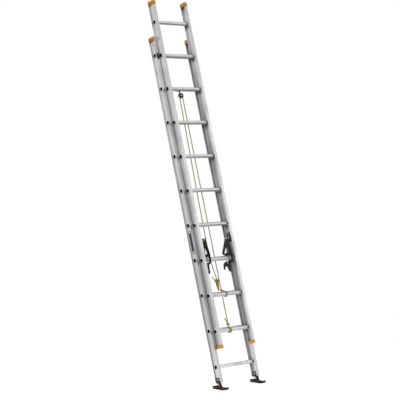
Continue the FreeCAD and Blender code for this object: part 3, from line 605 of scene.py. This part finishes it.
for side in SIDES:
    for cap in ("base_top", "fly_top", "fly_foot"):
        soften_cap(f"{cap}_cap_{side}", 0.0042)
    soften(f"shoe_{side}", 0.0006, 2)
    soften(f"shoe_pad_{side}", 0.0008, 2)
    soften(f"shoe_bracket_{side}", 0.0009)
    soften(f"lock_mount_{side}", 0.0007, 2)
    soften(f"lock_hook_{side}", 0.0012)
    soften(f"lock_finger_{side}", 0.0012)
soften("pulley_strap", 0.0004, 2)
soften("pulley_housing", 0.0006, 2)

# --- small fittings ----------------------------------------------------------------------------------------


def slab(name, points, thickness, direction, material):
    """A closed plate: a flat outline of frame points pushed along a direction by its thickness."""
    shape = bmesh.new()
    face = shape.faces.new([shape.verts.new(point) for point in points])
    pushed = bmesh.ops.extrude_face_region(shape, geom=[face])
    moved = [part for part in pushed["geom"] if isinstance(part, bmesh.types.BMVert)]
    bmesh.ops.translate(shape, verts=moved, vec=direction * thickness)
    bmesh.ops.recalc_face_normals(shape, faces=shape.faces)
    mesh = bpy.data.meshes.new(name)
    shape.to_mesh(mesh)
    shape.free()
    mesh.materials.append(material)
    return mesh


STRIP_X, STRIP_Y = -0.2120, RUNG_GAP
STRIP_STEPS = 12


def add_strip(name, low, high, half, proud, film, *replaced):
    """A round-ended strip of film up the left base rail's outer face, standing proud of it."""
    outline = []
    for centre, start in ((high - half, 0.0), (low + half, math.pi)):
        for step in range(STRIP_STEPS + 1):
            angle = start + math.pi * step / STRIP_STEPS
            point = at(STRIP_X, STRIP_Y + half * math.cos(angle), centre + half * math.sin(angle))
            if all((point - other).length > MERGE_WITHIN for other in outline[:1] + outline[-1:]):
                outline.append(point)
    new_piece(name, slab(name, outline, proud, -ACROSS, film), "base", "label_black", *replaced)


# The label on the left base rail: a plain dark strip with a pale rim and a pale stud near each end.
LABEL_LOW, LABEL_HIGH = 1.270, 1.482
LABEL_HALF = 0.0190
RIM_WIDTH = 0.004
STUD_RADIUS = 0.0095
add_strip("label_rim", LABEL_LOW, LABEL_HIGH, LABEL_HALF, 0.0007, LABEL_PALE, "rail_label")
add_strip(
    "label_face", LABEL_LOW + RIM_WIDTH, LABEL_HIGH - RIM_WIDTH, LABEL_HALF - RIM_WIDTH, 0.0010, LABEL_BLACK
)
for index, level in enumerate((LABEL_LOW + LABEL_HALF, LABEL_HIGH - LABEL_HALF)):
    low = level - STUD_RADIUS
    add_strip(f"label_stud_{index}", low, low + 2 * STUD_RADIUS, STUD_RADIUS, 0.0013, LABEL_PALE)

# A small plain sticker near the head of the same rail, with two dark dots on it.
DOT_RADIUS = 0.0030
add_strip("sticker", 3.128, 3.166, 0.0150, 0.0006, LABEL_PALE)
for index, low in enumerate((3.136, 3.150)):
    add_strip(f"sticker_bar_{index}", low, low + 2 * DOT_RADIUS, DOT_RADIUS, 0.0009, LABEL_BLACK)

# A dark guide plate at the head of each base rail, on its front flange beside the fly rail.
GUIDE_INNER, GUIDE_OUTER, GUIDE_LOW, GUIDE_HIGH = 0.199, 0.224, 3.018, 3.060
GUIDE_BACK, GUIDE_THICK = 0.0235, 0.005
GUIDE_CUT = (0.003, 0.004)
GUIDE_CORNERS = (
    (GUIDE_INNER, GUIDE_LOW),
    (GUIDE_OUTER - GUIDE_CUT[0], GUIDE_LOW),
    (GUIDE_OUTER, GUIDE_LOW + GUIDE_CUT[1]),
    (GUIDE_OUTER, GUIDE_HIGH - GUIDE_CUT[1]),
    (GUIDE_OUTER - GUIDE_CUT[0], GUIDE_HIGH),
    (GUIDE_INNER, GUIDE_HIGH),
)
for side, sign in SIDES.items():
    outline = [at(sign * x, GUIDE_BACK, z) for x, z in GUIDE_CORNERS]
    plate = slab(f"head_guide_{side}", outline, GUIDE_THICK, -BACK, GUIDE_GREY)
    bevel_edges(new_piece(f"head_guide_{side}", plate, "base", "lock_bracket"), 0.0008, 2, "ANGLE")

# --- rope --------------------------------------------------------------------------------------------------


def smooth_line(name, points):
    """Points along the one smooth curve that has these control points."""
    curve = bpy.data.curves.new(name + "_route", "CURVE")
    curve.dimensions = "3D"
    curve.resolution_u = 24
    spline = curve.splines.new("NURBS")
    spline.points.add(len(points) - 1)
    for point, place in zip(spline.points, points):
        point.co = (*place, 1.0)
    spline.order_u = 3
    spline.use_endpoint_u = True
    route = link(bpy.data.objects.new(name + "_route", curve))
    mesh = bpy.data.meshes.new_from_object(route)
    line = [vertex.co.copy() for vertex in mesh.vertices]
    bpy.data.objects.remove(route)
    bpy.data.meshes.remove(mesh)
    bpy.data.curves.remove(curve)
    return line


def length_of(line):
    return sum((b - a).length for a, b in zip(line, line[1:]))


def evenly(line, step):
    """The same line with its points evenly spaced."""
    count = max(2, round(length_of(line) / step))
    gap = length_of(line) / count
    made = [line[0].copy()]
    gone, wanted = 0.0, gap
    for a, b in zip(line, line[1:]):
        run = (b - a).length
        while len(made) < count and gone + run >= wanted:
            made.append(a.lerp(b, (wanted - gone) / run))
            wanted += gap
        gone += run
    made.append(line[-1].copy())
    return made


def tangents(line):
    ahead = line[1:] + [line[-1] + (line[-1] - line[-2])]
    behind = [line[0] - (line[1] - line[0])] + line[:-1]
    return [(b - a).normalized() for a, b in zip(behind, ahead)]


def strand_section():
    """Touching round strands seen end on, as radii round the rope for a rope of radius 1."""
    offset = 1.0 - STRAND_RADIUS
    share = 360.0 / ROPE_STRANDS
    radii = []
    for step in range(ROPE_STRANDS * STRAND_STEPS):
        turn = math.radians((step % STRAND_STEPS) * share / STRAND_STEPS - share / 2)
        reach = STRAND_RADIUS**2 - (offset * math.sin(turn)) ** 2
        radii.append(offset * math.cos(turn) + math.sqrt(max(reach, 0.0)))
    return radii


def rope_points(line, along, section):
    """Rings of points round a line, each turned a little further than the one before it."""
    side = along[0].orthogonal().normalized()
    made = []
    for i, (centre, ahead) in enumerate(zip(line, along)):
        side = (side - ahead * side.dot(ahead)).normalized()
        other = ahead.cross(side)
        turn = 2 * math.pi * i * ROPE_STEP / ROPE_TWIST
        for j, reach in enumerate(section):
            angle = turn + 2 * math.pi * j / len(section)
            made.append(centre + (side * math.cos(angle) + other * math.sin(angle)) * ROPE_RADIUS * reach)
    return made


def rope_faces(rings, count):
    """The faces between rings of so many points, and the places of their corners along and round the rope."""
    faces, lay = [], []
    for i in range(rings - 1):
        low, high = i * ROPE_STEP / ROPE_TWIST, (i + 1) * ROPE_STEP / ROPE_TWIST
        for j in range(count):
            k = (j + 1) % count
            near, far = j / count, (j + 1) / count
            faces.append((i * count + j, i * count + k, (i + 1) * count + k, (i + 1) * count + j))
            lay.append([(low, near), (low, far), (high, far), (high, near)])
    return faces, lay


def rope_mesh(name, line):
    """A laid rope along a line, as one closed surface with a low cone over each end."""
    line = evenly(line, ROPE_STEP)
    along = tangents(line)
    section = strand_section()
    count = len(section)
    points = rope_points(line, along, section)
    faces, lay = rope_faces(len(line), count)
    for ring, ahead in ((0, -along[0]), (len(line) - 1, along[-1])):
        tip = len(points)
        points.append(line[ring] + ahead * ROPE_RADIUS * END_CONE)
        for j in range(count):
            pair = (ring * count + j, ring * count + (j + 1) % count)
            faces.append((*(pair if ring else reversed(pair)), tip))
            lay.append([(0.0, j / count)] * 3)
    mesh = bpy.data.meshes.new(name)
    mesh.from_pydata(points, [], faces)
    places = mesh.uv_layers.new(name="lay")
    corners = [place for face in lay for place in face]
    for corner, place in zip(places.data, corners):
        corner.uv = place
    mesh.materials.append(ROPE)
    mesh.shade_smooth()
    return mesh


def ring_points(centre, first, second, radius, start, turns, drift):
    """Control points of turns round a centre in mm: from start (in turns), drifting along as they go."""
    reach = radius / math.cos(math.pi / RING_STEPS)
    count = round(RING_STEPS * turns)
    made = []
    for i in range(count + 1):
        angle = 2 * math.pi * (start + i / RING_STEPS)
        out = first * math.cos(angle) + second * math.sin(angle)
        made.append(Vector(centre) + out * reach + drift * (i / count))
    return made


# The route of the rope, in the ladder's own directions and in millimetres. It is tied to the fly's first
# rung, runs up to the sheave, over it and down again, and its spare length is in the hank above the second.
X_MM, Y_MM, Z_MM = Vector((1, 0, 0)), Vector((0, 1, 0)), Vector((0, 0, 1))
KNOT_X, KNOT_Y, KNOT_TOP = -20, 22, 668
SHEAVE_X, SHEAVE_Y, SHEAVE_Z = -32.0, 31.0, 2677.2
SHEAVE_PITCH_RADIUS = 17.0
CORNER = SHEAVE_PITCH_RADIUS * math.tan(math.radians(22.5))
RIGHT_LINE = SHEAVE_X + SHEAVE_PITCH_RADIUS
LEFT_LINE = SHEAVE_X - SHEAVE_PITCH_RADIUS
SHEAVE_TOP = SHEAVE_Z + SHEAVE_PITCH_RADIUS
FLY_LINE = [
    (RIGHT_LINE, SHEAVE_Y, SHEAVE_Z),
    (RIGHT_LINE, SHEAVE_Y, SHEAVE_Z - 170),
    (RIGHT_LINE - 0.1, SHEAVE_Y - 0.1, SHEAVE_Z - 340),
    (KNOT_X, KNOT_Y, KNOT_TOP),
]
HAUL_LINE = [
    (RIGHT_LINE, SHEAVE_Y, SHEAVE_Z),
    (RIGHT_LINE, SHEAVE_Y, SHEAVE_Z + CORNER),
    (SHEAVE_X + CORNER, SHEAVE_Y, SHEAVE_TOP),
    (SHEAVE_X - CORNER, SHEAVE_Y, SHEAVE_TOP),
    (LEFT_LINE, SHEAVE_Y, SHEAVE_Z + CORNER),
    (LEFT_LINE, SHEAVE_Y, SHEAVE_Z - 60),
    (-72, 31, 1500),
    (-67, 34, 1210),
    (-36, 45, 1090),
]
HANK_X, HANK_Y, HANK_TOP, HANK_FOOT = -23.0, 52.0, 1036.0, 942.0
HANK_STRANDS = 6
HANK_RADIUS = 9.3
ROUND_RUNG = (RUNG_RADIUS + ROPE_RADIUS) * 1000 + 0.3


def hank_points():
    """Strands laid up and down round a middle line, folded at both ends, then two wraps and a tail."""
    made = []
    for strand in range(HANK_STRANDS):
        pair, second = divmod(strand, 2)
        angle = math.radians(60.0 * pair + 180.0 * second + 20.0)
        out = X_MM * math.cos(angle) + Y_MM * math.sin(angle)
        low = HANK_FOOT + 11.0 * pair
        high = HANK_TOP - 9.0 * pair - 4.0 * second
        levels = [(high, 8.0), (high - 26.0, HANK_RADIUS), (low + 22.0, 7.4), (low, 5.2)]
        if second:
            levels.reverse()
        made += [Vector((HANK_X, HANK_Y, level)) + out * reach for level, reach in levels]
    wrap_at = Vector((HANK_X, HANK_Y, HANK_TOP - 21.0))
    made += ring_points(wrap_at, X_MM, Y_MM, 16.6, 0.80, 2.2, Z_MM * 20.0)
    made += [Vector((-38, 60, 1036)), Vector((-50, 61, 1052)), Vector((-60, 60, 1066))]
    return made


def knot_points():
    """The fly's end of the rope: two turns round its first rung, then two hitches round itself and a tail."""
    level = FLY_FIRST * 1000
    made = [Vector((KNOT_X, KNOT_Y, KNOT_TOP)), Vector((-20, 22.4, 640)), Vector((-23, 22.4, 618))]
    made += ring_points((-27, 0, level), Y_MM, -Z_MM, ROUND_RUNG, 0.0, 2.25, -X_MM * 20)
    made += [Vector((-44, -2, level + 34)), Vector((-34, 8, level + 38))]
    made += ring_points((KNOT_X, KNOT_Y, level + 38), -X_MM, -Y_MM, 9.8, 0.12, 2.0, Z_MM * 22)
    made += [Vector((-34, 14, level + 66)), Vector((-44, 12, level + 84)), Vector((-54, 14, level + 104))]
    return made


def tie_points():
    """The hank's free strand, hitched once round the fly's second rung."""
    level = (FLY_FIRST + PITCH) * 1000
    made = [Vector((-15, 46, 946)), Vector((-9, 36, 938)), Vector((0, 20, level + 30))]
    made += ring_points((3, 0, level), Z_MM, -Y_MM, ROUND_RUNG, 0.04, 1.1, -X_MM * 11)
    made += [Vector((-10, -3, level + 24)), Vector((-18, 8, level + 32)), Vector((-28, 12, level + 46))]
    return made


def add_rope(name, points, body, far_end, lay, *replaced):
    line = smooth_line(name, from_mm(points))
    rope = new_piece(name, rope_mesh(name, line), body, "yellow_rope", *replaced)
    return rope


# The line to the fly, given a mesh of its own.
fly_rope = add_rope("halyard_to_fly", FLY_LINE, "base", "knot", "taut", "halyard_fly_line")
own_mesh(fly_rope)
add_rope(
    "halyard_haul_and_hank", HAUL_LINE + hank_points(), "base", "bare", "hanging",
    "halyard_haul_line", "halyard_hank",
)
add_rope("halyard_knot", knot_points(), "fly", "bare", "coiled", "halyard_knot_and_tie")
add_rope("halyard_tie", tie_points(), "fly", "bare", "coiled")

# --- end ---------------------------------------------------------------------------------------------------
low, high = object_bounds()
